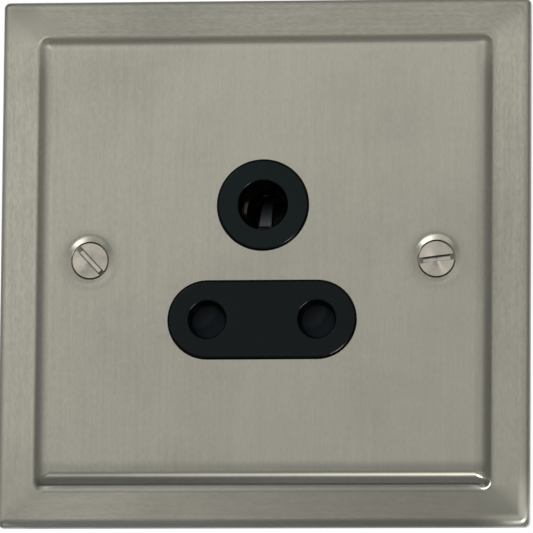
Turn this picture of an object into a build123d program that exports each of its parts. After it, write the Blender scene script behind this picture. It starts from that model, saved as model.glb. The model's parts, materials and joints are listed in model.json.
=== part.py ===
from build123d import *
import math
import os

# Three round pin wall socket: stepped metal plate, moulded module with a sliding shutter.
# Millimetres. X is to the right, Z is up, the wall is the plane Y = 0 and the front faces -Y.
# Every height is measured out from the wall: positive to the front, negative behind the wall.

# Face plate, pressed from one sheet
plate_width = 92.4
plate_corner = 1.0
plate_border = 6.4
sheet = 0.9
rim_face = 3.3
rim_round = 1.4
panel_face = 5.8
step_corner = 2.0
step_angle = 34.0
step_foot_round = 1.0
step_top_round = 2.6

# Wall fixing screws and their dished seats
fixing_centres = 60.3
fixing_thread = 3.5
fixing_length = 25.0
fixing_neck = 3.0
neck_length = 2.5
thread_tip = 0.45
fixing_head = 6.1
head_edge = 0.3
head_dome = 0.35
head_slot_width = 1.05
head_slot_depth = 1.3
left_slot_angle = -47.0
right_slot_angle = 7.0
dish_width = 8.8
dish_depth = 0.5
dish_round = 1.8
seat_play = 0.3
thread_play = 0.25

# Pins of the plug and where their holes stand
pin_centres = 19.05
earth_centres = 22.2
earth_z = 9.5
live_pin = 5.08
live_pin_length = 14.9
earth_pin = 7.06
earth_pin_length = 20.6
pin_play = 0.6
lead_in = 0.5
lead_depth = 2.2
mouth_round = 0.3

# Bosses of the front moulding
earth_boss = 15.7
live_boss = 13.5
boss_proud = 0.35
boss_round = 0.4
boss_gap = 0.2

# Module
module_corner = 3.0
front_wall = 2.1
side_wall = 2.0
ledge = 1.2
column = 3.3
column_rib = 2.2
column_inset = 5.5
terminal_margin = 0.6
tip_gap = 0.45
cover_plate = 2.1
cover_corner = 2.0
field_depth = 0.5
field_margin = 3.0
skirt = 1.1
skirt_gap = 0.2

# Shutter and its spring
slide_gap = 0.1
side_gap = 0.15
shutter_plate = 1.8
flap_lap = 0.2
open_gap = 0.12
flap_corner = 2.0
spine_width = 6.0
spine_depth = 5.0
spine_top = 2.0
guide_width = 1.2
ramp_width = 2.2
ramp_tip_width = 1.7
spring_wire = 0.35
spring_width = 3.15
spring_turns = 9
spring_play = 0.65
pocket_depth = 12.0
spring_seat_width = 5.2
spring_seat_depth = 5.0
peg_width = 2.0
peg_height = 2.0
end_gap = 0.35

# Contacts, terminals and their fasteners
carrier_plate = 2.0
carrier_play = 0.15
seat_gap = 0.1
contact_wall = 0.6
contact_length = 10.7
collar_length = 2.2
live_slot = 1.2
earth_slot = 3.0
strip = 0.8
flange_lip = 0.8
block_width = 8.0
block_height = 6.4
block_depth = 7.0
block_gap = 0.3
wire_bore = 3.6
wire_front = 2.8
cradle_wall = 1.1
cradle_depth = 7.8
terminal_thread = 3.5
terminal_head = 4.8
terminal_head_height = 1.8
terminal_backed_off = 3.0
terminal_tip_gap = 0.3
rivet = 1.4
rivet_head = 2.2
rivet_head_height = 0.4
rivet_inset = 1.1
small_slot_width = 0.8
small_slot_depth = 0.8
pillar = 5.0
pillar_play = 0.2
shelf = 2.6
module_thread = 3.0
module_screw_length = 7.0
module_head = 5.4
module_head_height = 2.0
cover_thread = 2.6
cover_screw_length = 9.0
cover_head = 5.2
cover_head_height = 1.6
screw_gap = 0.05
strap_width = 5.0

# Places in the front view
live_hole = live_pin + pin_play
earth_hole = earth_pin + pin_play
live_z = earth_z - math.sqrt(earth_centres**2 - (pin_centres / 2) ** 2)
live_x = pin_centres / 2
fixing_x = fixing_centres / 2
step_foot = plate_width - 2 * plate_border

# Shutter travel: each flap covers its hole with a lap, then clears it with a gap
flap_half = live_hole / 2 + flap_lap
travel = flap_half + live_hole / 2 + open_gap
flap_bottom = live_z - flap_half
ramp_foot = earth_z - earth_hole / 2 - open_gap
ramp_top = ramp_foot + travel
spring_seat_z = flap_bottom - travel - end_gap
pocket_top = flap_bottom + pocket_depth

# The tray is as wide and as tall as the terminals, the columns and the shutter's travel need
terminal_reach = contact_wall + block_gap + block_height
tray_top = earth_z + earth_pin / 2 + terminal_reach + terminal_margin
lowest_piece = min(live_z - live_pin / 2 - terminal_reach, flap_bottom - travel - ledge)
tray_bottom = lowest_piece - terminal_margin
tray_height = tray_top - tray_bottom
module_height = tray_height + 2 * side_wall
module_z = (tray_top + tray_bottom) / 2
column_x = live_x + block_width / 2 + cradle_wall + 2 * carrier_play + column
module_width = 2 * (column_x + column_inset)
tray_width = module_width - 2 * side_wall
top_column_z = module_z + module_height / 2 - column_inset
bottom_column_z = module_z - module_height / 2 + column_inset
cover_top = earth_z + earth_pin / 2 + skirt_gap + skirt
cover_bottom = live_z - live_pin / 2 - skirt_gap - skirt

# Heights from the front of the module to its back
panel_back = panel_face - sheet
boss_face = panel_face + boss_proud
tray_front = panel_back - front_wall
shutter_front = tray_front - slide_gap
shutter_back = shutter_front - shutter_plate
carrier_front = shutter_back - slide_gap
carrier_back = carrier_front - carrier_plate
contact_front = carrier_back - seat_gap
contact_back = contact_front - contact_length
block_back = contact_back + strip
block_front = block_back + block_depth
tray_back = block_front + strip
pillar_back = tray_back + shelf
cover_seat = boss_face - earth_pin_length - tip_gap
cover_back = cover_seat - cover_plate
wire_height = block_front - wire_front
ramp_back = shutter_front - (earth_pin_length - live_pin_length)
spine_back = shutter_front - spine_depth
spring_height = (shutter_front + spine_back) / 2


def slab(profile, back, front, taper=0.0):
    return extrude(Plane.XZ.offset(back) * profile, front - back, taper=taper)


def round_bar(x, z, width, back, front):
    return slab(Pos(x, z) * Circle(width / 2), back, front)


def bar(x_low, x_high, z_low, z_high, back, front):
    middle = Pos((x_low + x_high) / 2, (z_low + z_high) / 2)
    return slab(middle * Rectangle(x_high - x_low, z_high - z_low), back, front)


def slot_cutter(x, z, angle, width, bottom, top):
    long_slot = Rot(0, 0, angle) * Rectangle(2 * fixing_head, width)
    return slab(Pos(x, z) * long_slot, bottom, top)


def live_places():
    return [(-live_x, live_z), (live_x, live_z)]


def stepped_form(width, corner, face, edge_round, foot, foot_corner, rise, foot_round, top_round):
    # Flat border with a rounded rim, and a raised square panel on sloping sides
    border = slab(RectangleRounded(width, width, corner), 0, face)
    rim_edges = border.faces().sort_by(Axis.Y)[0].edges()
    border = fillet(rim_edges, edge_round)
    panel = slab(RectangleRounded(foot, foot, foot_corner), face, face + rise, step_angle)
    panel = fillet(panel.faces().sort_by(Axis.Y)[0].edges(), top_round)
    form = border + panel
    level = form.edges().filter_by_position(Axis.Y, -face - 0.001, -face + 0.001)
    foot_edges = [edge for edge in level if max(abs(edge.center().X), abs(edge.center().Z)) <= foot / 2]
    return fillet(foot_edges, foot_round)


def screw_seat(x, z):
    # Dish formed in the sheet, with a countersink for the screw at its floor
    dish_edge = dish_width / 2
    floor_edge = fixing_head / 2 + seat_play
    floor_height = panel_face - dish_depth
    hole = fixing_thread / 2 + thread_play
    hole_height = floor_height - (floor_edge - hole)
    patch = dish_edge + sheet
    outline = [
        (hole, -hole_height),
        (floor_edge, -floor_height),
        (dish_edge, -panel_face),
        (patch, -panel_face),
        (patch, -panel_back),
        (dish_edge, -panel_back),
        (floor_edge + sheet / 2, -floor_height + sheet),
        (hole + sheet / 2, -hole_height + sheet),
        (hole, -hole_height + sheet),
    ]
    profile = make_face(Polyline(*outline, close=True))
    lips = [profile.vertices().sort_by_distance(point)[0] for point in (outline[2], outline[5])]
    profile = fillet(lips, dish_round)
    return Pos(x, 0, z) * revolve(profile, Axis.Y), round_bar(x, z, 2 * patch, 0, panel_face)


def face_plate():
    slope = math.radians(step_angle)
    foot_shift = sheet * (1 / math.cos(slope) - math.tan(slope))
    rise = panel_face - rim_face
    outside = stepped_form(
        plate_width, plate_corner, rim_face, rim_round,
        step_foot, step_corner, rise, step_foot_round, step_top_round,
    )
    inside = stepped_form(
        plate_width - 2 * sheet, plate_corner - sheet, rim_face - sheet, rim_round - sheet,
        step_foot - 2 * foot_shift, step_corner - foot_shift, rise,
        step_foot_round + sheet, step_top_round - sheet,
    )
    plate = outside - inside
    for x in (-fixing_x, fixing_x):
        seat, opening = screw_seat(x, 0)
        plate = plate - opening + seat
    plate -= round_bar(0, earth_z, earth_boss + 2 * boss_gap, 0, panel_face)
    oval = SlotCenterToCenter(pin_centres, live_boss + 2 * boss_gap)
    return plate - slab(Pos(0, live_z) * oval, 0, panel_face)


def fixing_screw(x, slot_angle):
    # Raised countersunk head, plain neck through the plate, then the threaded length
    head = fixing_head / 2
    thread = fixing_thread / 2
    neck = fixing_neck / 2
    cone_top = panel_face - dish_depth - seat_play + screw_gap * math.sqrt(2)
    cone_foot = cone_top - (head - neck)
    neck_foot = cone_foot - neck_length
    edge_top = cone_top + head_edge
    dome_top = edge_top + head_dome
    tip = dome_top - fixing_length
    outline = [
        (0, -tip),
        (thread - thread_tip, -tip),
        (thread, -tip - thread_tip),
        (thread, -neck_foot + thread - neck),
        (neck, -neck_foot),
        (neck, -cone_foot),
        (head, -cone_top),
        (head, -edge_top),
    ]
    side = Polyline(*outline)
    crown_radius = (head**2 + head_dome**2) / (2 * head_dome)
    crown = RadiusArc(outline[-1], (0, -dome_top), -crown_radius)
    axis_line = Line((0, -dome_top), outline[0])
    screw = Pos(x, 0, 0) * revolve(make_face(side + crown + axis_line), Axis.Y)
    slot_bottom = dome_top - head_slot_depth
    return screw - slot_cutter(x, 0, slot_angle, head_slot_width, slot_bottom, dome_top + head_dome)


def plate_pillars():
    pillars = []
    for x, z in module_fixings():
        post = round_bar(x, z, pillar, pillar_back, panel_back)
        tapped = round_bar(x, z, module_thread + 2 * screw_gap, pillar_back, panel_back - sheet)
        pillars.append(post - tapped)
    return Compound(pillars)


def module_fixings():
    return [(-column_x, top_column_z), (column_x, bottom_column_z)]


def cover_fixings():
    return [(-column_x, module_z), (column_x, module_z)]


def pin_hole(x, z, width, front):
    # Straight throat through the front wall, flared towards the face
    throat = Pos(x, z) * Circle(width / 2)
    flare = math.degrees(math.atan2(lead_in, lead_depth))
    return slab(throat, tray_front, front) + slab(throat, boss_face - lead_depth, front, -flare)


def boss(profile, hole_places, hole_width):
    # Boss standing through the plate, rounded at its edge, with funnel mouths that guide the pins in
    body = slab(profile, panel_back, boss_face)
    body = fillet(body.faces().sort_by(Axis.Y)[0].edges(), boss_round)
    for x, z in hole_places:
        body -= pin_hole(x, z, hole_width, boss_face)
    mouths = body.faces().sort_by(Axis.Y)[0].inner_wires()
    return fillet([edge for wire in mouths for edge in wire.edges()], mouth_round)


def socket_housing():
    outline = Pos(0, module_z) * RectangleRounded(module_width, module_height, module_corner)
    corner = module_corner - side_wall
    tray = Pos(0, module_z) * RectangleRounded(tray_width, tray_height, corner)
    floor = Pos(0, module_z) * Rectangle(tray_width - 2 * ledge, tray_height - 2 * ledge)
    body = slab(outline, tray_back, panel_back)
    body -= slab(tray, tray_back, carrier_front)
    body -= slab(floor, carrier_front, tray_front)
    body += boss(Pos(0, earth_z) * Circle(earth_boss / 2), [(0, earth_z)], earth_hole)
    oval = Pos(0, live_z) * SlotCenterToCenter(pin_centres, live_boss)
    body += boss(oval, live_places(), live_hole)
    body -= pin_hole(0, earth_z, earth_hole, panel_back)
    for x, z in live_places():
        body -= pin_hole(x, z, live_hole, panel_back)
    for side in (-1, 1):
        guide_in = side * (spine_width / 2 + side_gap)
        guide_out = guide_in + side * guide_width
        guide_bottom = live_z + flap_half + slide_gap
        low, high = sorted((guide_in, guide_out))
        body += bar(low, high, guide_bottom, spine_top, shutter_back, tray_front)
        wall_in = side * tray_width / 2
        wall_out = side * module_width / 2
        low, high = sorted((wall_in, wall_out))
        body += bar(low, high, cover_bottom, cover_top, cover_seat, tray_back)
    return body + spring_seat() + cover_columns() + module_columns() - column_holes()


def spring_seat():
    half = spring_seat_width / 2
    seat_back = tray_front - spring_seat_depth
    block = bar(-half, half, tray_bottom, spring_seat_z, seat_back, tray_front)
    peg = extrude(Plane.XY.offset(spring_seat_z) * Circle(peg_width / 2), peg_height)
    return block + Pos(0, -spring_height, 0) * peg


def cover_columns():
    columns = Part()
    for x, z in cover_fixings():
        reach = math.copysign(tray_width / 2, x)
        low, high = sorted((x, reach))
        columns += round_bar(x, z, 2 * column, cover_seat, tray_front)
        columns += bar(low, high, z - column_rib / 2, z + column_rib / 2, cover_seat, tray_front)
    return columns


def module_columns():
    columns = Part()
    for x, z in module_fixings():
        columns += round_bar(x, z, 2 * column, tray_back, tray_front)
    return columns


def column_holes():
    holes = Part()
    for x, z in module_fixings():
        holes += round_bar(x, z, pillar + 2 * pillar_play, pillar_back, panel_back)
        holes += round_bar(x, z, module_thread + 2 * pillar_play, tray_back, pillar_back)
    pilot = cover_screw_length - cover_plate + tip_gap
    for x, z in cover_fixings():
        holes += round_bar(x, z, cover_thread + 2 * screw_gap, cover_seat, cover_seat + pilot)
    return holes


def shutter():
    half = spine_width / 2
    flap_width = pin_centres + 2 * flap_half
    flap = Pos(0, live_z) * RectangleRounded(flap_width, 2 * flap_half, flap_corner)
    body = slab(flap, shutter_back, shutter_front)
    body += bar(-half, half, flap_bottom, spine_top, spine_back, shutter_front)
    pocket = extrude(Plane.XY.offset(flap_bottom) * Circle(spring_width / 2 + spring_play / 2), pocket_depth)
    body -= Pos(0, -spring_height, 0) * pocket
    return body + shutter_ramp()


def shutter_ramp():
    # Wedge that the earth pin pushes: its slope runs from the flap plane back past the hole's centre
    root = spine_top - side_gap
    front_view = Polyline(
        (-ramp_width / 2, root),
        (ramp_width / 2, root),
        (ramp_width / 2, ramp_foot),
        (ramp_tip_width / 2, ramp_top),
        (-ramp_tip_width / 2, ramp_top),
        (-ramp_width / 2, ramp_foot),
        close=True,
    )
    side_view = Polyline(
        (-shutter_front, root),
        (-shutter_front, ramp_foot),
        (-ramp_back, ramp_top),
        (-ramp_back, root),
        close=True,
    )
    blank = slab(make_face(front_view), ramp_back, shutter_front)
    slope = extrude(Plane.YZ * make_face(side_view), ramp_width, both=True)
    return blank & slope


def shutter_spring():
    radius = (spring_width - spring_wire) / 2
    free = pocket_top - spring_seat_z - 2 * spring_wire
    path = Helix(free / spring_turns, free, radius)
    section = Plane(path @ 0, z_dir=path % 0) * RegularPolygon(spring_wire / 2, 6)
    coil = sweep(section, path, is_frenet=True)
    return Pos(0, -spring_height, spring_seat_z + spring_wire) * coil


def block_centre(z, pin_width, way):
    reach = pin_width / 2 + contact_wall + block_gap + block_height / 2
    return z + way * reach


def terminals():
    # Name, place of the pin, pin width, slot in the contact, and which way the terminal lies
    return [
        ("earth", 0, earth_z, earth_pin, earth_slot, 1),
        ("line", live_x, live_z, live_pin, live_slot, -1),
        ("neutral", -live_x, live_z, live_pin, live_slot, -1),
    ]


def contact_carrier():
    outline = RectangleRounded(tray_width - 2 * carrier_play, tray_height - 2 * carrier_play, ledge)
    body = slab(Pos(0, module_z) * outline, carrier_back, carrier_front)
    for name, x, z, pin_width, slot, way in terminals():
        centre = block_centre(z, pin_width, way)
        pad_back = block_front + seat_gap
        if name == "earth":
            pad_back += strip
        half = block_width / 2
        body += bar(x - half, x + half, centre - block_height / 2, centre + block_height / 2,
                    pad_back, carrier_back)
        for side in (-1, 1):
            inner = x + side * (half + carrier_play)
            low, high = sorted((inner, inner + side * cradle_wall))
            bottom = centre - block_height / 2
            cradle_top = carrier_back - cradle_depth
            if name == "earth":
                bottom = centre + strap_width / 2 + carrier_play
            body += bar(low, high, bottom, centre + block_height / 2, cradle_top, carrier_back)
        body -= round_bar(x, z, pin_width + pin_play, carrier_back, carrier_front)
    return body - carrier_clearance()


def carrier_clearance():
    # Slot that the shutter's spine and ramp run in, and room for the housing's columns
    half = spine_width / 2 + 2 * side_gap
    depth = carrier_back - cradle_depth
    slot = bar(-half, half, tray_bottom, spine_top + end_gap, depth, carrier_front)
    ramp_half = ramp_width / 2 + side_gap
    slot += bar(-ramp_half, ramp_half, spine_top, ramp_top + end_gap, carrier_back, carrier_front)
    for x, z in module_fixings() + cover_fixings():
        room = column + carrier_play
        reach = math.copysign(tray_width / 2, x)
        low, high = sorted((x, reach))
        slot += round_bar(x, z, 2 * room, depth, carrier_front)
        slot += bar(low, high, z - room, z + room, depth, carrier_front)
    return slot


def contact(x, z, pin_width, slot, way):
    # Slotted sleeve that grips the pin, with a flange turned out over its terminal block
    bore = pin_width / 2
    outer = bore + contact_wall
    centre = block_centre(z, pin_width, way)
    body = round_bar(x, z, 2 * outer, contact_back, contact_front)
    flange = Pos(x, z) * Circle(outer + flange_lip)
    flange += Pos(x, (z + centre) / 2) * Rectangle(block_width, abs(centre - z))
    flange += Pos(x, centre) * Rectangle(block_width, block_height)
    body += slab(flange, contact_back, contact_back + strip)
    body -= round_bar(x, z, pin_width, contact_back, contact_front)
    collar = contact_back + collar_length
    body -= bar(x - slot / 2, x + slot / 2, z - 2 * outer, z + 2 * outer, collar, contact_front)
    body -= round_bar(x, centre, terminal_thread + 2 * thread_play, contact_back, contact_back + strip)
    return body - rivet_holes(x, centre)


def rivet_places(x, centre):
    return [(x + side * (block_width / 2 - rivet_inset), centre) for side in (-1, 1)]


def rivet_holes(x, centre):
    holes = Part()
    for place_x, place_z in rivet_places(x, centre):
        holes += round_bar(place_x, place_z, rivet + 2 * screw_gap, contact_back, tray_back)
    return holes


def terminal_block(x, z, pin_width, way):
    centre = block_centre(z, pin_width, way)
    body = slab(Pos(x, centre) * Rectangle(block_width, block_height), block_back, block_front)
    bore = extrude(Plane.XY * Circle(wire_bore / 2), block_height, both=True)
    body -= Pos(x, -wire_height, centre) * bore
    body -= round_bar(x, centre, terminal_thread + 2 * screw_gap, block_back, wire_height)
    return body - rivet_holes(x, centre)


def slotted_screw(x, z, thread, tip, seat, head, head_height):
    # Cheese head screw driven from behind: the head lies behind its seat
    body = round_bar(x, z, thread, seat, tip)
    back = seat - head_height
    body += round_bar(x, z, head, back, seat)
    return body - slot_cutter(x, z, 45.0, small_slot_width, back, back + small_slot_depth)


def terminal_screw(x, z, pin_width, way):
    centre = block_centre(z, pin_width, way)
    tip = wire_height - wire_bore / 2 - terminal_tip_gap
    seat = contact_back - terminal_backed_off
    return slotted_screw(x, centre, terminal_thread, tip, seat, terminal_head, terminal_head_height)


def contact_rivets():
    rivets = []
    for name, x, z, pin_width, slot, way in terminals():
        front = tray_back if name == "earth" else block_front
        for place_x, place_z in rivet_places(x, block_centre(z, pin_width, way)):
            body = round_bar(place_x, place_z, rivet, contact_back - rivet_head_height, front)
            body += round_bar(place_x, place_z, rivet_head, contact_back - rivet_head_height, contact_back)
            rivets.append(body)
    return Compound(rivets)


def rear_cover():
    middle = Pos(0, (cover_top + cover_bottom) / 2)
    outline = middle * RectangleRounded(module_width, cover_top - cover_bottom, cover_corner)
    body = slab(outline, cover_back, cover_seat)
    body = fillet(body.faces().sort_by(Axis.Y)[-1].edges(), boss_round)
    field_width = 2 * (column_x - cover_head / 2 - field_margin)
    field_height = cover_top - cover_bottom - 2 * field_margin
    field = middle * RectangleRounded(field_width, field_height, cover_corner)
    body -= slab(field, cover_back, cover_back + field_depth)
    half = tray_width / 2 - carrier_play
    skirt_front = contact_back - seat_gap
    body += bar(-half, half, cover_top - skirt, cover_top, skirt_front, cover_seat)
    body += bar(-half, half, cover_bottom, cover_bottom + skirt, skirt_front, cover_seat)
    for x, z in cover_fixings():
        body -= round_bar(x, z, cover_thread + 2 * thread_play, cover_back, cover_seat)
    return body


def cover_screws():
    tip = cover_back + cover_screw_length
    return Compound([
        slotted_screw(x, z, cover_thread, tip, cover_back, cover_head, cover_head_height)
        for x, z in cover_fixings()
    ])


def module_screws():
    screws = []
    for x, z in module_fixings():
        seat = tray_back - strip if x < 0 else tray_back
        tip = seat + module_screw_length
        screws.append(slotted_screw(x, z, module_thread, tip, seat, module_head, module_head_height))
    return Compound(screws)


def earth_strap():
    # Strip from the plate's upper pillar, under its screw, to the earth terminal block
    x, z = module_fixings()[0]
    centre = block_centre(earth_z, earth_pin, 1)
    half = strap_width / 2
    body = bar(x, block_width / 2, centre - half, centre + half, block_front, tray_back)
    body += round_bar(x, centre, strap_width, block_front, tray_back)
    body -= round_bar(x, z, module_thread + 2 * pillar_play, block_front, tray_back)
    return body - rivet_holes(0, centre)


def build_all():
    parts = {
        "face_plate": face_plate(),
        "fixing_screw_left": fixing_screw(-fixing_x, left_slot_angle),
        "fixing_screw_right": fixing_screw(fixing_x, right_slot_angle),
        "plate_pillars": plate_pillars(),
        "module_screws": module_screws(),
        "socket_housing": socket_housing(),
        "shutter": shutter(),
        "shutter_spring": shutter_spring(),
        "contact_carrier": contact_carrier(),
        "contact_rivets": contact_rivets(),
        "earth_strap": earth_strap(),
        "rear_cover": rear_cover(),
        "cover_screws": cover_screws(),
    }
    for name, x, z, pin_width, slot, way in terminals():
        parts[name + "_contact"] = contact(x, z, pin_width, slot, way)
        parts[name + "_terminal"] = terminal_block(x, z, pin_width, way)
        parts[name + "_terminal_screw"] = terminal_screw(x, z, pin_width, way)
    return parts


os.makedirs("parts", exist_ok=True)
for node, shape in build_all().items():
    export_step(shape, "parts/" + node + ".step")
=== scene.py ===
import json
import math
import bpy
import bmesh
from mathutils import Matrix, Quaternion, Vector


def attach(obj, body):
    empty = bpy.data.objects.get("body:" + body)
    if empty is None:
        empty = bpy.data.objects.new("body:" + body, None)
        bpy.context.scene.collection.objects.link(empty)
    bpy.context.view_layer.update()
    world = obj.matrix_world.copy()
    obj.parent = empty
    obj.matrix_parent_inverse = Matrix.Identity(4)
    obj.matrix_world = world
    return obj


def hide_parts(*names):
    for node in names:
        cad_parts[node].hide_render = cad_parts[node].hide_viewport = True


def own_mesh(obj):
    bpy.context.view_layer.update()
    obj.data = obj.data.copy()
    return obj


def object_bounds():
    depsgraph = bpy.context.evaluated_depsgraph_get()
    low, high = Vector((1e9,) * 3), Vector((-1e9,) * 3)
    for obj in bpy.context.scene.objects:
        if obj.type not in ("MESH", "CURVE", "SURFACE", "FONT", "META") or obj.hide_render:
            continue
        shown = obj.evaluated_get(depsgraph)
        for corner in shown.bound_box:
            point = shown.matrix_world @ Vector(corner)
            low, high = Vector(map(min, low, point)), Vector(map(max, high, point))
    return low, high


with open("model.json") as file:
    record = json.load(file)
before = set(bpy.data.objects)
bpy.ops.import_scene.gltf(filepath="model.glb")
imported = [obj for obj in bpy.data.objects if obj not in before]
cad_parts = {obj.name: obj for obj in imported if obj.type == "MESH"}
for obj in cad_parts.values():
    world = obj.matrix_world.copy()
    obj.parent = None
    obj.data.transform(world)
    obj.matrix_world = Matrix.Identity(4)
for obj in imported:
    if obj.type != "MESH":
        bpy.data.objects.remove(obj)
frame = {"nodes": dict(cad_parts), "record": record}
nodes = frame["nodes"]
cadBox = [list(corner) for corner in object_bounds()]
mm = 0.001

# Places that several pieces share, from the part's own mounts
mounts = {mount["name"]: mount for mount in frame["record"]["mounts"]}
fixingX = mounts["wall_fixing"]["dims"]["pcd_mm"] * mm / 2
liveX = mounts["line_pin_hole"]["pos_m"][0]
livePinZ = mounts["line_pin_hole"]["pos_m"][2]
earthPinZ = mounts["earth_pin_hole"]["pos_m"][2]
liveScrewZ = mounts["line_wire_bore"]["pos_m"][2]
earthScrewZ = mounts["earth_wire_bore"]["pos_m"][2]


# Small helpers for node trees

def feed(tree, socket, value):
    if isinstance(value, bpy.types.NodeSocket):
        tree.links.new(value, socket)
    elif value is not None:
        socket.default_value = value


def mathNode(tree, operation, first, second=None, clamp=False):
    node = tree.nodes.new("ShaderNodeMath")
    node.operation = operation
    node.use_clamp = clamp
    for socket, value in zip(node.inputs, (first, second)):
        feed(tree, socket, value)
    return node.outputs[0]


def product(tree, first, *others):
    for other in others:
        first = mathNode(tree, "MULTIPLY", first, other)
    return first


def difference(tree, first, second):
    return mathNode(tree, "SUBTRACT", first, second)


def distance(tree, across, up):
    square = mathNode(tree, "ADD", product(tree, across, across), product(tree, up, up))
    return mathNode(tree, "SQRT", square)


def fromNearer(tree, x, reach):
    # x measured from the nearer of two centres, one on each side
    return difference(tree, x, product(tree, mathNode(tree, "SIGN", x), reach))


def mixNumber(tree, factor, low, high):
    node = tree.nodes.new("ShaderNodeMix")
    node.data_type = "FLOAT"
    feed(tree, node.inputs[0], factor)
    feed(tree, node.inputs[2], low)
    feed(tree, node.inputs[3], high)
    return node.outputs[0]


def mixColour(tree, factor, low, high, blend="MIX"):
    node = tree.nodes.new("ShaderNodeMix")
    node.data_type = "RGBA"
    node.blend_type = blend
    feed(tree, node.inputs[0], factor)
    feed(tree, node.inputs[6], low)
    feed(tree, node.inputs[7], high)
    return node.outputs[2]


def stepBetween(tree, value, low, high, smooth=True):
    node = tree.nodes.new("ShaderNodeMapRange")
    node.interpolation_type = "SMOOTHSTEP" if smooth else "LINEAR"
    node.clamp = True
    feed(tree, node.inputs[0], value)
    feed(tree, node.inputs[1], low)
    feed(tree, node.inputs[2], high)
    return node.outputs[0]


def band(tree, value, start, end):
    # Rises from 0 to 1 over the pair start, and falls again over the pair end
    return difference(tree, stepBetween(tree, value, *start), stepBetween(tree, value, *end))


def toned(tree, tone, mask, level):
    # Tone times level where the mask is 1, and unchanged where it is 0
    return product(tree, tone, mixNumber(tree, mask, 1.0, level))


def splitVector(tree, vector):
    node = tree.nodes.new("ShaderNodeSeparateXYZ")
    tree.links.new(vector, node.inputs[0])
    return node.outputs[0], node.outputs[1], node.outputs[2]


def joinVector(tree, x, y, z):
    node = tree.nodes.new("ShaderNodeCombineXYZ")
    for socket, value in zip(node.inputs, (x, y, z)):
        feed(tree, socket, value)
    return node.outputs[0]


def applyTone(tree, colour, tone):
    return mixColour(tree, 1.0, colour, joinVector(tree, tone, tone, tone), "MULTIPLY")


def noiseValue(tree, vector, scale, detail=3.0, rough=0.55):
    node = tree.nodes.new("ShaderNodeTexNoise")
    feed(tree, node.inputs["Vector"], vector)
    feed(tree, node.inputs["Scale"], scale)
    node.inputs["Detail"].default_value = detail
    node.inputs["Roughness"].default_value = rough
    return node.outputs[0]


def objectPlace(tree):
    return tree.nodes.new("ShaderNodeTexCoord").outputs["Object"]


def startGroup(name, inputs, outputs):
    group = bpy.data.node_groups.new(name, "ShaderNodeTree")
    for way, sockets in (("INPUT", inputs), ("OUTPUT", outputs)):
        for socketName, kind in sockets.items():
            group.interface.new_socket(name=socketName, in_out=way, socket_type="NodeSocket" + kind)
    entry = group.nodes.new("NodeGroupInput")
    leave = group.nodes.new("NodeGroupOutput")
    return group, entry.outputs, leave.inputs


def placeGroup(tree, group, **values):
    node = tree.nodes.new("ShaderNodeGroup")
    node.node_tree = group
    for name, value in values.items():
        feed(tree, node.inputs[name], value)
    return node.outputs


# Shared effects

def finishGrain(group, given, out, shadeBy, roughBy):
    # One noise swings the colour, another the roughness
    lift = product(group, difference(group, shadeBy, 0.5), given["Contrast"], 2.0)
    tone = mathNode(group, "ADD", lift, 1.0)
    group.links.new(applyTone(group, given["Colour"], tone), out["Colour"])
    drift = product(group, roughBy, given["Spread"])
    group.links.new(mathNode(group, "ADD", given["Roughness"], drift, clamp=True), out["Roughness"])


strokeLook = {
    "detail": 2.0,
    "rough": 0.6,
    "sweepAcross": 0.8,      # long strokes: scale beside the fine ones, and share in the whole
    "sweepAlong": 0.07,
    "sweepShare": 0.38,
}


def makeStrokeGrain():
    # Fine parallel strokes left by a brush or by drawing: they run along the vector's Z
    s = strokeLook
    group, given, out = startGroup(
        "strokeGrain",
        {"Vector": "Vector", "Across": "Float", "Along": "Float", "Colour": "Color",
         "Contrast": "Float", "Roughness": "Float", "Spread": "Float"},
        {"Colour": "Color", "Roughness": "Float", "Height": "Float"})
    x, y, z = splitVector(group, given["Vector"])

    def lines(across, along):
        stretched = joinVector(group, product(group, x, across), product(group, y, across),
                               product(group, z, along))
        return noiseValue(group, stretched, 1.0, s["detail"], s["rough"])

    fine = lines(given["Across"], given["Along"])
    sweep = lines(product(group, given["Across"], s["sweepAcross"]),
                  product(group, given["Along"], s["sweepAlong"]))
    both = mixNumber(group, s["sweepShare"], fine, sweep)
    finishGrain(group, given, out, both, difference(group, 0.5, both))
    group.links.new(both, out["Height"])
    return group


markLook = {"patch": (0.42, 0.72), "detail": 4.0, "rough": 0.6}


def makeHandling():
    # Faint smudges and tarnish: patches that are a little duller and darker
    s = markLook
    group, given, out = startGroup(
        "handlingMarks",
        {"Vector": "Vector", "Scale": "Float", "Amount": "Float", "Colour": "Color", "Roughness": "Float"},
        {"Colour": "Color", "Roughness": "Float"})
    cloud = noiseValue(group, given["Vector"], given["Scale"], s["detail"], s["rough"])
    dull = product(group, stepBetween(group, cloud, *s["patch"]), given["Amount"])
    group.links.new(applyTone(group, given["Colour"], difference(group, 1.0, dull)), out["Colour"])
    group.links.new(mathNode(group, "ADD", given["Roughness"], dull, clamp=True), out["Roughness"])
    return group


wearLook = {"samples": 4, "bend": (0.005, 0.12), "chipScale": 1400.0, "chips": (0.3, 0.62), "rough": 0.6}


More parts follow.
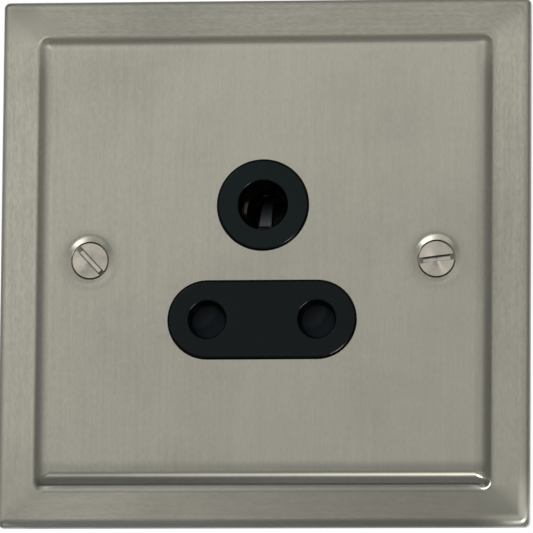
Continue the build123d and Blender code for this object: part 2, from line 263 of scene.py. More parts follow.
def makeEdgeWear():
    # Mask along the sharp edges, broken up by a little noise
    s = wearLook
    group, given, out = startGroup(
        "edgeWear", {"Vector": "Vector", "Radius": "Float", "Strength": "Float"}, {"Mask": "Float"})
    bevel = group.nodes.new("ShaderNodeBevel")
    bevel.samples = s["samples"]
    group.links.new(given["Radius"], bevel.inputs["Radius"])
    flat = group.nodes.new("ShaderNodeNewGeometry")
    dot = group.nodes.new("ShaderNodeVectorMath")
    dot.operation = "DOT_PRODUCT"
    group.links.new(bevel.outputs[0], dot.inputs[0])
    group.links.new(flat.outputs["Normal"], dot.inputs[1])
    bend = stepBetween(group, difference(group, 1.0, dot.outputs["Value"]), *s["bend"])
    flakes = noiseValue(group, given["Vector"], s["chipScale"], rough=s["rough"])
    worn = product(group, bend, stepBetween(group, flakes, *s["chips"]))
    group.links.new(mathNode(group, "MULTIPLY", worn, given["Strength"], clamp=True), out["Mask"])
    return group


mouldLook = {"pitDetail": 2.0, "pitRough": 0.6, "flowScale": 130.0, "flowRough": 0.5}


def makeMouldGrain():
    # Fine stipple of a moulded face, with slow flow shades
    s = mouldLook
    group, given, out = startGroup(
        "mouldGrain",
        {"Vector": "Vector", "Stipple": "Float", "Colour": "Color",
         "Contrast": "Float", "Roughness": "Float", "Spread": "Float"},
        {"Colour": "Color", "Roughness": "Float", "Height": "Float"})
    pits = noiseValue(group, given["Vector"], given["Stipple"], s["pitDetail"], s["pitRough"])
    flow = noiseValue(group, given["Vector"], s["flowScale"], rough=s["flowRough"])
    finishGrain(group, given, out, flow, difference(group, pits, 0.5))
    group.links.new(pits, out["Height"])
    return group


ringLook = {"detail": 2.0, "rough": 0.6}


def makeTurnedRings():
    # Lathe rings round an axis that runs along Y through CentreX and CentreZ
    s = ringLook
    group, given, out = startGroup(
        "turnedRings",
        {"Vector": "Vector", "CentreX": "Float", "CentreZ": "Float", "Rings": "Float"},
        {"Height": "Float"})
    x, y, z = splitVector(group, given["Vector"])
    radius = distance(group, difference(group, x, given["CentreX"]), difference(group, z, given["CentreZ"]))
    outward = joinVector(group, product(group, radius, given["Rings"]), 0.0, 0.0)
    group.links.new(noiseValue(group, outward, 1.0, s["detail"], s["rough"]), out["Height"])
    return group


strokeGrain = makeStrokeGrain()
handlingMarks = makeHandling()
edgeWear = makeEdgeWear()
mouldGrain = makeMouldGrain()
turnedRings = makeTurnedRings()
print("shared effects made")


# Materials

def startMaterial(name, settings):
    material = bpy.data.materials.new(name)
    material.use_nodes = True
    tree = material.node_tree
    surface = tree.nodes["Principled BSDF"]
    surface.inputs["Metallic"].default_value = settings.get("metallic", 0.0)
    surface.inputs["Specular IOR Level"].default_value = settings.get("specular", 0.5)
    surface.inputs["Anisotropic"].default_value = settings.get("anisotropic", 0.0)
    return material, tree, surface


def finishSurface(tree, surface, settings, colour, rough, height):
    tree.links.new(colour, surface.inputs["Base Color"])
    tree.links.new(rough, surface.inputs["Roughness"])
    bump = tree.nodes.new("ShaderNodeBump")
    bump.inputs["Strength"].default_value = settings["bump"]
    bump.inputs["Distance"].default_value = settings["bumpDepth"]
    tree.links.new(height, bump.inputs["Height"])
    tree.links.new(bump.outputs[0], surface.inputs["Normal"])


plateFinish = {
    "colour": (0.324, 0.315, 0.262, 1.0),
    "metallic": 1.0,
    "roughness": 0.33,
    "spread": 0.14,
    "anisotropic": 0.80,
    "bump": 0.14,
    "bumpDepth": 0.05 * mm,
    "across": 2900.0,                      # fineness of the strokes, across them and along
    "along": 1000.0,
    "contrast": (0.22, 0.155),             # strokes on the panel, at its left and right
    "borderContrast": (0.20, 0.33),        # strokes on the borders, below and above
    "panelEdge": (39.2 * mm, 38.2 * mm),
    "cloudScale": 38.0,
    "clouds": 0.06,
    "mitreStart": 39.2 * mm,               # the borders above and below are brushed sideways
    "mitreEdge": 0.1 * mm,
    "mitreSoft": 5.5 * mm,
    "raggedScale": 260.0,
    "ragged": 3.0 * mm,
    "crossShade": 0.94,                    # what is brushed sideways looks darker
    "farTone": 0.80,                       # painted shade: the plate darkens slowly towards the lower right
    "farLean": 0.2,
    "farSpan": (-30 * mm, 58 * mm),
    # painted light: the border at the left is lighter
    "leftBorder": 1.06,
    "leftEdge": (-38.6 * mm, -39.6 * mm),
    "lowBorder": (1.18, 0.84),             # painted light and shade: tone of the border below, at its left and right ends
    "lowEnds": (-25 * mm, 28 * mm),
    "topWall": 1.4,                        # the step catches more light along the top
    "topFrom": (32 * mm, 38 * mm),
    "wallFrom": (-5.75 * mm, -5.2 * mm),
    "wallTo": (-3.7 * mm, -3.35 * mm),
    "leftward": (12 * mm, -22 * mm),
    "foldShade": (0.70, 0.82),             # panel above its lower bend, at the right and left
    "foldFrom": (-34.7 * mm, -36.4 * mm),
    "foldEnd": (-36.9 * mm, -37.3 * mm),
    "foldFace": (-4.6 * mm, -5.2 * mm),
    "bendLeft": 0.80,                      # painted shade: the bend is darker at its left
    "bendFrom": (-36.9 * mm, -37.5 * mm),
    "bendFace": (-4.2 * mm, -4.8 * mm),
    "footTone": 2.4,                       # painted highlight: lighter line along the foot of the step below
    "footFrom": (-38.95 * mm, -39.4 * mm),
    "footTo": (-39.75 * mm, -40.25 * mm),
    "footEnds": (39.2 * mm, 38.2 * mm),
    "rim": (43.9 * mm, 44.9 * mm),         # coarser strokes where the rim was rounded over
    "rimCoarse": 4.0,
    "cornerAt": cadBox[1][0],
    "brightCorner": 1.9,                   # painted highlight: the rim is lighter at the lower right corner
    "brightReach": (11.0 * mm, 1.0 * mm),
    "shadedCorners": (0.80, 0.88),           # painted shade in the upper left and upper right corners
    "shadedReach": (9.0 * mm, 1.0 * mm),
    "seatReach": (5.9 * mm, 4.9 * mm),     # the brush doesn't reach into the dished seats
    "seatRoughness": 0.44,
    "seatShade": 0.64,                     # top of each seat, beside its glint
    "seatShadeFrom": (-1.7 * mm, 0.2 * mm),
    "seatShadeTo": (0.6 * mm, 2.6 * mm),
    "seatShadeReach": (4.5 * mm, 3.9 * mm),
}


def brushWay(tree, s, place):
    # 1 where the brush went sideways, with ragged mitres at the plate's corners
    x, y, z = splitVector(tree, place)
    sideways = mathNode(tree, "ABSOLUTE", x)
    upright = mathNode(tree, "ABSOLUTE", z)
    start, edge = s["mitreStart"], s["mitreEdge"]
    onBorder = stepBetween(tree, upright, start - edge, start + edge)
    wander = difference(tree, noiseValue(tree, place, s["raggedScale"]), 0.5)
    past = mathNode(tree, "ADD", difference(tree, upright, sideways), product(tree, wander, s["ragged"]))
    return product(tree, onBorder, stepBetween(tree, past, -s["mitreSoft"], s["mitreSoft"]))


def borderTone(tree, s, x, z, crosswise):
    # Painted shade: slow fall towards the lower right; painted light and shade on the borders, which differ
    # from side to side
    slant = difference(tree, product(tree, x, s["farLean"]), z)
    far = stepBetween(tree, slant, *s["farSpan"], smooth=False)
    tone = mixNumber(tree, far, 1.0, s["farTone"])
    tone = toned(tree, tone, crosswise, s["crossShade"])
    below = product(tree, crosswise, mathNode(tree, "LESS_THAN", z, 0.0))
    lowTone = mixNumber(tree, stepBetween(tree, x, *s["lowEnds"]), *s["lowBorder"])
    tone = toned(tree, tone, below, lowTone)
    onLeft = product(tree, stepBetween(tree, x, *s["leftEdge"]), difference(tree, 1.0, crosswise))
    return toned(tree, tone, onLeft, s["leftBorder"])


def stepTone(tree, s, tone, x, y, z):
    # The step between panel and border: shade above its lower bend, light along its foot and top
    leftward = stepBetween(tree, x, *s["leftward"])
    inFold = product(tree, band(tree, z, s["foldFrom"], s["foldEnd"]), stepBetween(tree, y, *s["foldFace"]))
    tone = toned(tree, tone, inFold, mixNumber(tree, leftward, *s["foldShade"]))
    onBend = product(tree, stepBetween(tree, z, *s["bendFrom"]), stepBetween(tree, y, *s["bendFace"]))
    tone = toned(tree, tone, product(tree, leftward, onBend), s["bendLeft"])
    sideways = mathNode(tree, "ABSOLUTE", x)
    onFoot = product(tree, band(tree, z, s["footFrom"], s["footTo"]),
                     stepBetween(tree, sideways, *s["footEnds"]))
    tone = toned(tree, tone, onFoot, s["footTone"])
    onTop = product(tree, band(tree, y, s["wallFrom"], s["wallTo"]), stepBetween(tree, z, *s["topFrom"]))
    return toned(tree, tone, onTop, s["topWall"])


def cornerTone(tree, s, tone, x, z, onRim):
    # Painted highlight on the rim at the lower right corner, and painted shade in the upper corners
    fromLow = distance(tree, difference(tree, x, s["cornerAt"]), mathNode(tree, "ADD", z, s["cornerAt"]))
    bright = product(tree, onRim, stepBetween(tree, fromLow, *s["brightReach"]))
    tone = toned(tree, tone, bright, s["brightCorner"])
    sideways = mathNode(tree, "ABSOLUTE", x)
    fromTop = distance(tree, difference(tree, sideways, s["cornerAt"]), difference(tree, z, s["cornerAt"]))
    cornerShade = mixNumber(tree, mathNode(tree, "GREATER_THAN", x, 0.0), *s["shadedCorners"])
    return toned(tree, tone, stepBetween(tree, fromTop, *s["shadedReach"]), cornerShade)


def seatTone(tree, s, tone, x, z, fromSeat):
    # Shade in the top of each dished seat, beside its glint
    offGlint = band(tree, fromNearer(tree, x, fixingX), s["seatShadeFrom"], s["seatShadeTo"])
    above = mathNode(tree, "GREATER_THAN", z, 0.0)
    shaded = product(tree, offGlint, above, stepBetween(tree, fromSeat, *s["seatShadeReach"]))
    return toned(tree, tone, shaded, s["seatShade"])


def makeSatinNickel():
    s = plateFinish
    material, tree, surface = startMaterial("satinNickel", s)
    place = objectPlace(tree)
    x, y, z = splitVector(tree, place)
    sideways = mathNode(tree, "ABSOLUTE", x)
    outermost = mathNode(tree, "MAXIMUM", sideways, mathNode(tree, "ABSOLUTE", z))
    onRim = stepBetween(tree, outermost, *s["rim"])
    onPanel = stepBetween(tree, outermost, *s["panelEdge"])
    fromSeat = distance(tree, difference(tree, sideways, fixingX), z)
    crosswise = brushWay(tree, s, place)
    lengthwise = difference(tree, 1.0, crosswise)

    # Light and shade as in the photo, set by place on the plate
    tone = borderTone(tree, s, x, z, crosswise)
    tone = stepTone(tree, s, tone, x, y, z)
    tone = cornerTone(tree, s, tone, x, z, onRim)
    tone = seatTone(tree, s, tone, x, z, fromSeat)

    strokes = joinVector(tree, mixNumber(tree, crosswise, x, z), y, mixNumber(tree, crosswise, z, x))
    panelLines = mixNumber(tree, stepBetween(tree, x, -s["mitreStart"], 0.0), *s["contrast"])
    borderLines = mixNumber(tree, stepBetween(tree, z, -s["mitreStart"], 0.0), *s["borderContrast"])
    grain = placeGroup(tree, strokeGrain, Vector=strokes, Across=s["across"], Along=s["along"],
                       Colour=applyTone(tree, s["colour"], tone), Roughness=s["roughness"],
                       Spread=s["spread"], Contrast=mixNumber(tree, onPanel, borderLines, panelLines))
    marks = placeGroup(tree, handlingMarks, Vector=place, Scale=s["cloudScale"], Amount=s["clouds"],
                       Colour=grain["Colour"], Roughness=grain["Roughness"])
    inSeat = stepBetween(tree, fromSeat, *s["seatReach"])
    rough = mixNumber(tree, inSeat, marks["Roughness"], s["seatRoughness"])
    height = product(tree, grain["Height"], mixNumber(tree, onRim, 1.0, s["rimCoarse"]))
    finishSurface(tree, surface, s, marks["Colour"], rough, height)
    tree.links.new(joinVector(tree, lengthwise, 0.0, crosswise), surface.inputs["Tangent"])
    return material


screwFinish = {
    "colour": (0.372, 0.346, 0.292, 1.0),
    "metallic": 1.0,
    "roughness": 0.24,
    "anisotropic": 0.70,                     # turned face: light spreads outwards from the centre
    "slotDepth": (-5.1 * mm, -4.8 * mm),     # anything deeper than this inside the head is slot
    "slotColour": (0.36, 0.342, 0.297, 1.0),
    "slotCornerShade": (0.05, 0.047, 0.04, 1.0),   # painted shade along the slot's inner corners
    "slotCorner": (0.16 * mm, 0.50 * mm),
    "slotTurns": (math.radians(-47.0), math.radians(7.0)),   # left and right screw
    "rings": 5200.0,
    "bump": 0.14,
    "bumpDepth": 0.05 * mm,
    "markScale": 420.0,
    "marks": 0.16,
}


def makeNickelScrew():
    s = screwFinish
    material, tree, surface = startMaterial("nickelScrew", s)
    place = objectPlace(tree)
    x, y, z = splitVector(tree, place)
    folded = joinVector(tree, mathNode(tree, "ABSOLUTE", x), y, z)
    rings = placeGroup(tree, turnedRings, Vector=folded, CentreX=fixingX, Rings=s["rings"])
    fromX = fromNearer(tree, x, fixingX)
    isRight = mathNode(tree, "GREATER_THAN", x, 0.0)
    sine = mixNumber(tree, isRight, *[math.sin(turn) for turn in s["slotTurns"]])
    cosine = mixNumber(tree, isRight, *[math.cos(turn) for turn in s["slotTurns"]])
    offLine = difference(tree, product(tree, z, cosine), product(tree, fromX, sine))
    corner = stepBetween(tree, mathNode(tree, "ABSOLUTE", offLine), *s["slotCorner"])
    slotTint = mixColour(tree, corner, s["slotColour"], s["slotCornerShade"])
    tint = mixColour(tree, stepBetween(tree, y, *s["slotDepth"]), s["colour"], slotTint)
    marks = placeGroup(tree, handlingMarks, Vector=place, Scale=s["markScale"], Amount=s["marks"],
                       Colour=tint, Roughness=s["roughness"])
    finishSurface(tree, surface, s, marks["Colour"], marks["Roughness"], rings["Height"])
    tree.links.new(joinVector(tree, fromX, 0.0, z), surface.inputs["Tangent"])
    return material


def startMoulding(name, s):
    # Grained plastic with worn edges, before what is special to each piece
    material, tree, surface = startMaterial(name, s)
    place = objectPlace(tree)
    grain = placeGroup(tree, mouldGrain, Vector=place, Stipple=s["stipple"], Colour=s["colour"],
                       Contrast=s["contrast"], Roughness=s["roughness"], Spread=s["spread"])
    wear = placeGroup(tree, edgeWear, Vector=place, Radius=s["wearRadius"], Strength=s["wear"])
    skin = mixColour(tree, wear["Mask"], grain["Colour"], s["worn"])
    return material, tree, surface, place, grain, skin


blackFinish = {
    "colour": (0.0022, 0.0058, 0.0060, 1.0),
    "worn": (0.020, 0.024, 0.025, 1.0),
    "specular": 0.10,
    "roughness": 0.22,
    "spread": 0.12,
    "contrast": 0.25,
    "stipple": 5200.0,
    "wearRadius": 0.16 * mm,
    "wear": 0.35,
    "bump": 0.10,
    "bumpDepth": 0.04 * mm,
    "holeTone": 0.2,                        # painted shade: walls of the pin holes are darker; they are also smoother
    "holeRoughness": 0.14,
    "holeFront": (-5.95 * mm, -5.75 * mm),
    "holeBack": (-2.85 * mm, -2.75 * mm),
    "edgeTone": 0.04,                       # painted dark reflection: rounded edges turn black
    "edgeFacing": (-0.97, -0.75),
    "ovalTone": 0.62,                       # painted shade: the oval boss is darker than the round one
    "ovalTop": (-3 * mm, 3 * mm),
    "boreRadius": 4.8 * mm,                 # painted shade: the way in for the earth pin stays black
    "boreEnd": 15.4 * mm,
    "rear": (0.015, 0.017, 0.018, 1.0),     # unpolished side of the mould, behind the plate
    "rearShare": 0.8,
    "rearGloss": 0.55,
    "rearRoughness": 0.32,
}


def makeBlackMoulding():
    s = blackFinish
    material, tree, surface, place, grain, skin = startMoulding("blackMoulding", s)
    x, y, z = splitVector(tree, place)
    aside = distance(tree, x, difference(tree, z, earthPinZ))
    outOfBore = mathNode(tree, "MAXIMUM", mathNode(tree, "GREATER_THAN", aside, s["boreRadius"]),
                         mathNode(tree, "GREATER_THAN", y, s["boreEnd"]))
    behind = product(tree, outOfBore, stepBetween(tree, y, *s["holeBack"]))
    inHole = difference(tree, stepBetween(tree, y, *s["holeFront"]), behind)
    facing = splitVector(tree, tree.nodes.new("ShaderNodeNewGeometry").outputs["Normal"])[1]
    turned = product(tree, stepBetween(tree, facing, *s["edgeFacing"]), difference(tree, 1.0, behind))
    tone = mixNumber(tree, inHole, 1.0, s["holeTone"])
    tone = toned(tree, tone, turned, s["edgeTone"])
    tone = product(tree, tone, mixNumber(tree, stepBetween(tree, z, *s["ovalTop"]), s["ovalTone"], 1.0))
    skin = mixColour(tree, product(tree, behind, s["rearShare"]), applyTone(tree, skin, tone), s["rear"])
    tree.links.new(product(tree, behind, s["rearGloss"]), surface.inputs["Coat Weight"])
    surface.inputs["Coat Roughness"].default_value = s["rearRoughness"]
    rough = mixNumber(tree, inHole, grain["Roughness"], s["holeRoughness"])
    finishSurface(tree, surface, s, skin, rough, grain["Height"])
    return material


slateFinish = {
    "colour": (0.0045, 0.0074, 0.0098, 1.0),
    "worn": (0.022, 0.026, 0.030, 1.0),
    "specular": 0.08,
    "roughness": 0.48,
    "spread": 0.12,
    "contrast": 0.2,
    "stipple": 4200.0,
    "wearRadius": 0.15 * mm,
    "wear": 0.3,
    "bump": 0.12,
    "bumpDepth": 0.04 * mm,
    "wornLitSlope": (0.24, 0.272, 0.276, 1.0),    # pale streaks on the slope that the earth pin meets: wear, and painted light
    "slopeFoot": (6.2 * mm, 6.6 * mm),
    "slopeSpan": (6.6 * mm, 11.4 * mm),
    "streakScale": 2600.0,
    "streaks": (-0.4, 0.75),
    "flapTop": -4 * mm,
    "flapTone": (0.30, 2.3),                # painted light and shade: flaps get paler towards the lower right of each hole
    "flapSpan": (-3.2 * mm, 2.6 * mm),
}


def makeSlateMoulding():
    s = slateFinish
    material, tree, surface, place, grain, skin = startMoulding("slateMoulding", s)
    x, y, z = splitVector(tree, place)
    fading = difference(tree, 1.0, stepBetween(tree, z, *s["slopeSpan"], smooth=False))
    combed = noiseValue(tree, joinVector(tree, x, 0.0, 0.0), s["streakScale"])
    onSlope = product(tree, stepBetween(tree, z, *s["slopeFoot"]), fading,
                  stepBetween(tree, combed, *s["streaks"]))
    skin = mixColour(tree, onSlope, skin, s["wornLitSlope"])
    slant = difference(tree, fromNearer(tree, x, liveX), difference(tree, z, livePinZ))
    flapTone = mixNumber(tree, stepBetween(tree, slant, *s["flapSpan"]), *s["flapTone"])
    onFlap = mathNode(tree, "LESS_THAN", z, s["flapTop"])
    skin = applyTone(tree, skin, mixNumber(tree, onFlap, 1.0, flapTone))
    finishSurface(tree, surface, s, skin, grain["Roughness"], grain["Height"])
    return material


zincFinish = {
    "colour": (0.46, 0.47, 0.48, 1.0), "metallic": 1.0, "roughness": 0.33, "spread": 0.12,
    "contrast": 0.08, "across": 2600.0, "along": 900.0, "marks": 0.16, "markScale": 420.0,
    "bump": 0.10, "bumpDepth": 0.05 * mm,
}
springFinish = {
    "colour": (0.36, 0.36, 0.37, 1.0), "metallic": 1.0, "roughness": 0.27, "spread": 0.1,
    "contrast": 0.1, "across": 6000.0, "along": 3000.0, "marks": 0.12, "markScale": 900.0,
    "bump": 0.10, "bumpDepth": 0.03 * mm,
}
brassFinish = {
    "colour": (0.60, 0.42, 0.17, 1.0), "metallic": 1.0, "roughness": 0.29, "spread": 0.14,
    "contrast": 0.10, "across": 3000.0, "along": 420.0, "marks": 0.22, "markScale": 300.0,
    "bump": 0.12, "bumpDepth": 0.05 * mm,
    "holeShade": (0.010, 0.008, 0.005, 1.0), "holeShadeRoughness": 0.9,   # painted shade over the earth pin
    "holeShadeTop": 15.4 * mm, "holeShadeHalf": 4.4 * mm, "holeShadeBack": 11.5 * mm,
}
bronzeFinish = {
    "colour": (0.54, 0.33, 0.14, 1.0), "metallic": 1.0, "roughness": 0.31, "spread": 0.12,
    "contrast": 0.12, "across": 2800.0, "along": 560.0, "marks": 0.25, "markScale": 260.0,
    "bump": 0.10, "bumpDepth": 0.04 * mm,
    "dull": (0.005, 0.004, 0.003, 1.0), "shadeRadius": 4.4 * mm,   # painted shade inside the earth sleeve
    # painted glint inside the earth sleeve
    "sleeveGlint": (0.10, 0.09, 0.058, 1.0), "glintSide": (-2.9 * mm, -3.5 * mm),
    "glintMid": 10.1 * mm, "glintHalf": (1.3 * mm, 0.65 * mm), "glintDeep": (4.2 * mm, 3.2 * mm),
}


def shadeSleeve(tree, s, place, skin, rough):
    # Inside of the earth contact: painted shade, with one painted glint where it shows in the earth hole
    x, y, z = splitVector(tree, place)
    fromPin = distance(tree, x, difference(tree, z, earthPinZ))
    outside = mathNode(tree, "GREATER_THAN", fromPin, s["shadeRadius"])
    offMid = mathNode(tree, "ABSOLUTE", difference(tree, z, s["glintMid"]))
    glintSpot = product(tree, stepBetween(tree, x, *s["glintSide"]),
                     stepBetween(tree, offMid, *s["glintHalf"]), stepBetween(tree, y, *s["glintDeep"]))
    bore = mixColour(tree, glintSpot, s["dull"], s["sleeveGlint"])
    return mixColour(tree, outside, bore, skin), rough


def shadeBlock(tree, s, place, skin, rough):
    # Painted shade: darkens the earth terminal where it would show through the earth hole
    x, y, z = splitVector(tree, place)
    spot = product(tree, mathNode(tree, "LESS_THAN", z, s["holeShadeTop"]),
                   mathNode(tree, "GREATER_THAN", z, 0.0),
                   mathNode(tree, "LESS_THAN", mathNode(tree, "ABSOLUTE", x), s["holeShadeHalf"]),
                   mathNode(tree, "LESS_THAN", y, s["holeShadeBack"]))
    return mixColour(tree, spot, skin, s["holeShade"]), mixNumber(tree, spot, rough, s["holeShadeRoughness"])


def makeDrawnMetal(name, s, patina=None):
    material, tree, surface = startMaterial(name, s)
    place = objectPlace(tree)
    grain = placeGroup(tree, strokeGrain, Vector=place, Across=s["across"], Along=s["along"],
                       Colour=s["colour"], Contrast=s["contrast"], Roughness=s["roughness"],
                       Spread=s["spread"])
    marks = placeGroup(tree, handlingMarks, Vector=place, Scale=s["markScale"], Amount=s["marks"],
                       Colour=grain["Colour"], Roughness=grain["Roughness"])
    skin, rough = marks["Colour"], marks["Roughness"]
    if patina:
        skin, rough = patina(tree, s, place, skin, rough)
    finishSurface(tree, surface, s, skin, rough, grain["Height"])
    return material


brassScrewFinish = {
    "colour": (0.60, 0.44, 0.20, 1.0),
    "metallic": 1.0,
    "roughness": 0.24,
    "rings": 5200.0,
    "markScale": 600.0,
    "marks": 0.2,
    "bump": 0.14,
    "bumpDepth": 0.05 * mm,
}


def makeBrassScrew():
    s = brassScrewFinish
    material, tree, surface = startMaterial("brassScrew", s)
    place = objectPlace(tree)
    x, y, z = splitVector(tree, place)
    folded = joinVector(tree, mathNode(tree, "ABSOLUTE", x), y, z)
    isEarth = mathNode(tree, "GREATER_THAN", z, 0.0)
    centreX = mixNumber(tree, isEarth, liveX, 0.0)
    centreZ = mixNumber(tree, isEarth, liveScrewZ, earthScrewZ)
    rings = placeGroup(tree, turnedRings, Vector=folded, CentreX=centreX, CentreZ=centreZ, Rings=s["rings"])
    marks = placeGroup(tree, handlingMarks, Vector=place, Scale=s["markScale"], Amount=s["marks"],
                       Colour=s["colour"], Roughness=s["roughness"])
    finishSurface(tree, surface, s, marks["Colour"], marks["Roughness"], rings["Height"])
    return material


finishes = {
    "satin_nickel": makeSatinNickel(),
    "nickel_screw": makeNickelScrew(),
    "black_moulding": makeBlackMoulding(),
    "slate_moulding": makeSlateMoulding(),
    "zinc_steel": makeDrawnMetal("zincSteel", zincFinish),
    "spring_steel": makeDrawnMetal("springSteel", springFinish),
    "brass": makeDrawnMetal("brassBlock", brassFinish, shadeBlock),
    "bronze_strip": makeDrawnMetal("bronzeStrip", bronzeFinish, shadeSleeve),
    "brass_screw": makeBrassScrew(),
}
slotOf = {part["node"]: part["material_slot"] for part in frame["record"]["subparts"]}
for nodeName, piece in nodes.items():
    for materialSlot in piece.material_slots:
        materialSlot.material = finishes[slotOf[nodeName]]
print("finishes set on", len(nodes), "nodes")


# Pieces of the scene's own

def addMesh(name, rings, finish, body):
    # Closed skin over rings of points, each ring joined to the next
    mesh = bpy.data.meshes.new(name)
    skin = bmesh.new()
    rows = [[skin.verts.new(point) for point in ring] for ring in rings]
    count = len(rows[0])
    for low, high in zip(rows, rows[1:]):
        for i in range(count):
            j = (i + 1) % count
            skin.faces.new((low[i], low[j], high[j], high[i]))
    skin.faces.new(list(reversed(rows[0])))
    skin.faces.new(rows[-1])
    bmesh.ops.recalc_face_normals(skin, faces=skin.faces)
    skin.to_mesh(mesh)
    skin.free()
    for face in mesh.polygons:
        face.use_smooth = True
    mesh.materials.append(finishes[finish])
    piece = bpy.data.objects.new(name, mesh)
    bpy.context.scene.collection.objects.link(piece)
    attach(piece, body)
    return piece


springShape = {
    "axisY": -0.2 * mm, "low": -19.9428 * mm, "high": -1.5928 * mm,
    "radius": 1.4 * mm, "wire": 0.175 * mm, "turns": 9.0, "deadTurns": 1.0,
    "sides": 8, "perTurn": 28,
    "keep": 12.35 / 18.35,   # length with the shutter down, beside its length at rest
}


def makeSpring():
    s = springShape
    low = s["low"] + s["wire"]
    high = s["high"] - s["wire"]
    turns = s["turns"] + 2 * s["deadTurns"]
    steps = int(turns * s["perTurn"])
    deadRise = 2 * s["wire"] * s["deadTurns"]
    openLength = (high - low) - 2 * deadRise
    rings = []
    for step in range(steps + 1):
        turn = turns * step / steps
        if turn < s["deadTurns"]:
            rise = 2 * s["wire"] * turn
        elif turn > turns - s["deadTurns"]:
            rise = (high - low) - 2 * s["wire"] * (turns - turn)
        else:
            rise = deadRise + openLength * (turn - s["deadTurns"]) / s["turns"]
        angle = 2 * math.pi * turn
        outward = Vector((math.cos(angle), math.sin(angle), 0))
        centre = Vector((0, s["axisY"], low + rise)) + outward * s["radius"]
        ring = []
        for side in range(s["sides"]):
            around = 2 * math.pi * side / s["sides"]
            spoke = outward * math.cos(around) + Vector((0, 0, math.sin(around)))
            ring.append(centre + spoke * s["wire"])
        rings.append(ring)
    spring = addMesh("return_spring", rings, "spring_steel", "socket")
    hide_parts("shutter_spring")
    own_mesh(spring)


makeSpring()

threadCut = {
    "core": 1.70 * mm, "crest": 1.83 * mm, "pitch": 0.6 * mm,
    "flank": 0.42, "crestHalf": 0.08 * mm,   # flank as a share of the pitch
    "runOut": 24, "lowest": 0.35,            # crest fades over 1/24 of the length at each end
    "perTurn": 24,
    "fixing": {"from": -0.3 * mm, "to": 18.6 * mm, "finish": "nickel_screw",
               "places": {"thread_left": (-fixingX, 0.0), "thread_right": (fixingX, 0.0)}},
    "terminal": {"from": 12.2 * mm, "to": 14.7 * mm, "finish": "brass_screw",
                 "places": {"thread_earth": (0.0, earthScrewZ), "thread_line": (liveX, liveScrewZ),
                            "thread_neutral": (-liveX, liveScrewZ)}},
}


def makeThreads(screw):
    # Rolled thread: one helical ridge round the screw's shank
    s = threadCut
    length = screw["to"] - screw["from"]
    turns = length / s["pitch"]
    steps = int(turns * s["perTurn"])
    half = s["flank"] * s["pitch"]
    for name, (x, z) in screw["places"].items():
        rings = []
        for step in range(steps + 1):
            along = screw["from"] + length * step / steps
            angle = 2 * math.pi * turns * step / steps
            fade = min(1.0, s["runOut"] * step / steps, s["runOut"] * (steps - step) / steps)
            crest = s["core"] + (s["crest"] - s["core"]) * max(s["lowest"], fade)
            section = ((s["core"], -half), (crest, -s["crestHalf"]),
                       (crest, s["crestHalf"]), (s["core"], half))
            rings.append([Vector((x + radius * math.cos(angle), along + shift, z + radius * math.sin(angle)))
                          for radius, shift in section])
        addMesh(name, rings, screw["finish"], "socket")


makeThreads(threadCut["fixing"])
makeThreads(threadCut["terminal"])
print("spring and threads made")


# Stage: pale floor well below, white surround, soft light

def addStage(name, corners, material):
    mesh = bpy.data.meshes.new(name)
    mesh.from_pydata(corners, [], [(0, 1, 2, 3)])
    mesh.materials.append(material)
    piece = bpy.data.objects.new(name, mesh)
    bpy.context.scene.collection.objects.link(piece)
    return piece


floorLook = {
    "colour": (0.74, 0.76, 0.82, 1.0), "roughness": 0.8, "specular": 0.1,
    "half": 3.0, "behind": 1.2, "height": -0.50,
}


def makeFloor():
    s = floorLook
    material, tree, surface = startMaterial("paleFloor", s)
    surface.inputs["Base Color"].default_value = s["colour"]
    surface.inputs["Roughness"].default_value = s["roughness"]
    clear = tree.nodes.new("ShaderNodeBsdfTransparent")
    sides = tree.nodes.new("ShaderNodeMixShader")  # nothing to see from underneath
    facing = tree.nodes.new("ShaderNodeNewGeometry")
    tree.links.new(facing.outputs["Backfacing"], sides.inputs[0])
    tree.links.new(surface.outputs[0], sides.inputs[1])
    tree.links.new(clear.outputs[0], sides.inputs[2])
    tree.links.new(sides.outputs[0], tree.nodes["Material Output"].inputs["Surface"])
    half, height = s["half"], s["height"]
    addStage("floor", [(-half, -half, height), (half, -half, height),
                       (half, s["behind"], height), (-half, s["behind"], height)], material)


makeFloor()

surround = {"shown": 1.0, "lighting": 0.40, "colour": (1.0, 1.0, 1.0, 1.0)}


def makeSurround():
    s = surround
    world = bpy.data.worlds.new("surround")
    world.use_nodes = True
    bpy.context.scene.world = world
    tree = world.node_tree
    background = tree.nodes["Background"]
    background.inputs["Color"].default_value = s["colour"]
    rays = tree.nodes.new("ShaderNodeLightPath")
    seen = mathNode(tree, "MAXIMUM", rays.outputs["Is Camera Ray"], rays.outputs["Is Glossy Ray"])
    seen = mathNode(tree, "MAXIMUM", seen, rays.outputs["Is Transmission Ray"])
    tree.links.new(mixNumber(tree, seen, s["lighting"], s["shown"]), background.inputs["Strength"])


makeSurround()

sideCards = {
    "reach": 0.80, "front": -0.25, "back": 0.50, "low": -0.45, "high": 0.80,
    "roughness": 0.9, "specular": 0.0,
    "fade": (-0.25, 0.05),   # pale at the front, greyer behind the plate
    "cardLeft": (0.98, 0.72), "cardRight": (0.84, 0.62), "cardTop": (1.0, 0.80), "cool": 0.94,
}


def makeCard(name, corners):
    # Card out of shot, so that the plate's rounded edges have something to mirror
    s = sideCards
    material, tree, surface = startMaterial(name, s)
    depth = splitVector(tree, objectPlace(tree))[1]
    grey = mixNumber(tree, stepBetween(tree, depth, *s["fade"]), *s[name])
    cooler = product(tree, grey, s["cool"])
    tree.links.new(joinVector(tree, cooler, cooler, grey), surface.inputs["Base Color"])
    surface.inputs["Roughness"].default_value = s["roughness"]
    addStage(name, corners, material).visible_camera = False


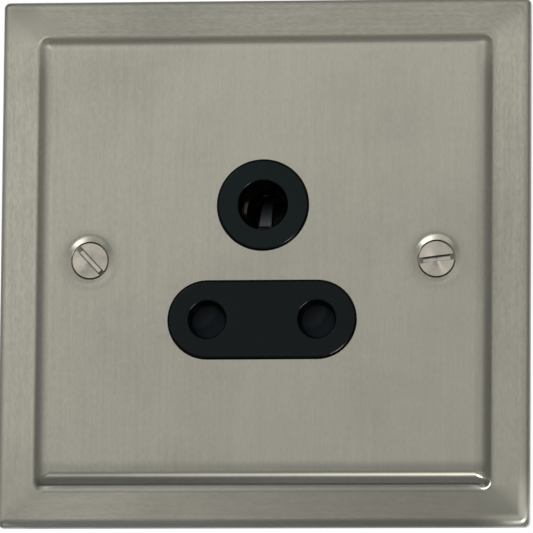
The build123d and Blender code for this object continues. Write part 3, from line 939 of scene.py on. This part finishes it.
def makeCards():
    s = sideCards
    for name, x in (("cardLeft", -s["reach"]), ("cardRight", s["reach"])):
        makeCard(name, [(x, s["front"], s["low"]), (x, s["back"], s["low"]),
                        (x, s["back"], s["high"]), (x, s["front"], s["high"])])
    makeCard("cardTop", [(-s["reach"], s["front"], s["high"]), (s["reach"], s["front"], s["high"]),
                         (s["reach"], s["back"], s["high"]), (-s["reach"], s["back"], s["high"])])


makeCards()

lampPlan = {
    "keyLamp": {"at": (0.17, -0.27, -0.21), "size": 0.06, "power": 1.1, "colour": (1.0, 0.99, 0.97)},
    "frontLamp": {"at": (-0.60, -1.60, 0.30), "size": 0.70, "power": 0.8, "colour": (1.0, 1.0, 1.0)},
    "fillLamp": {"at": (-0.50, -0.60, 0.55), "size": 0.50, "power": 0.8, "colour": (1.0, 1.0, 1.0)},
    "backLamp": {"at": (0.35, 0.95, 0.75), "size": 0.60, "power": 3.5, "colour": (1.0, 1.0, 1.0)},
}


def makeLamps():
    for name, plan in lampPlan.items():
        light = bpy.data.lights.new(name, "AREA")
        light.shape = "SQUARE"
        light.size = plan["size"]
        light.energy = plan["power"]
        light.color = plan["colour"]
        lamp = bpy.data.objects.new(name, light)
        lamp.location = plan["at"]
        lamp.rotation_euler = (-Vector(plan["at"])).to_track_quat("-Z", "Y").to_euler()
        lamp.visible_camera = False
        bpy.context.scene.collection.objects.link(lamp)


makeLamps()

cameraPlan = {
    "fromBelow": 8.4, "fromRight": 5.8, "roll": 0.505,   # degrees off the plate's axis
    "distance": 1.2, "frame": 92.5 * mm,
    "aim": (0.37 * mm, -2.5 * mm, -0.78 * mm),
    "sensor": 36.0, "clip": (0.05, 20.0),
}


def makeCamera():
    s = cameraPlan
    right = math.radians(s["fromRight"])
    below = math.radians(s["fromBelow"])
    back = Vector((math.sin(right) * math.cos(below), -math.cos(right) * math.cos(below), -math.sin(below)))
    data = bpy.data.cameras.new("camera")
    data.sensor_width = s["sensor"]
    data.lens = s["sensor"] * s["distance"] / s["frame"]
    data.clip_start, data.clip_end = s["clip"]
    camera = bpy.data.objects.new("camera", data)
    camera.location = Vector(s["aim"]) + back * s["distance"]
    turn = (-back).to_track_quat("-Z", "Y") @ Quaternion((0, 0, 1), math.radians(s["roll"]))
    camera.rotation_euler = turn.to_euler()
    bpy.context.scene.collection.objects.link(camera)
    bpy.context.scene.camera = camera


makeCamera()
bpy.context.scene.view_settings.view_transform = "Standard"
print("stage, lamps and camera set")
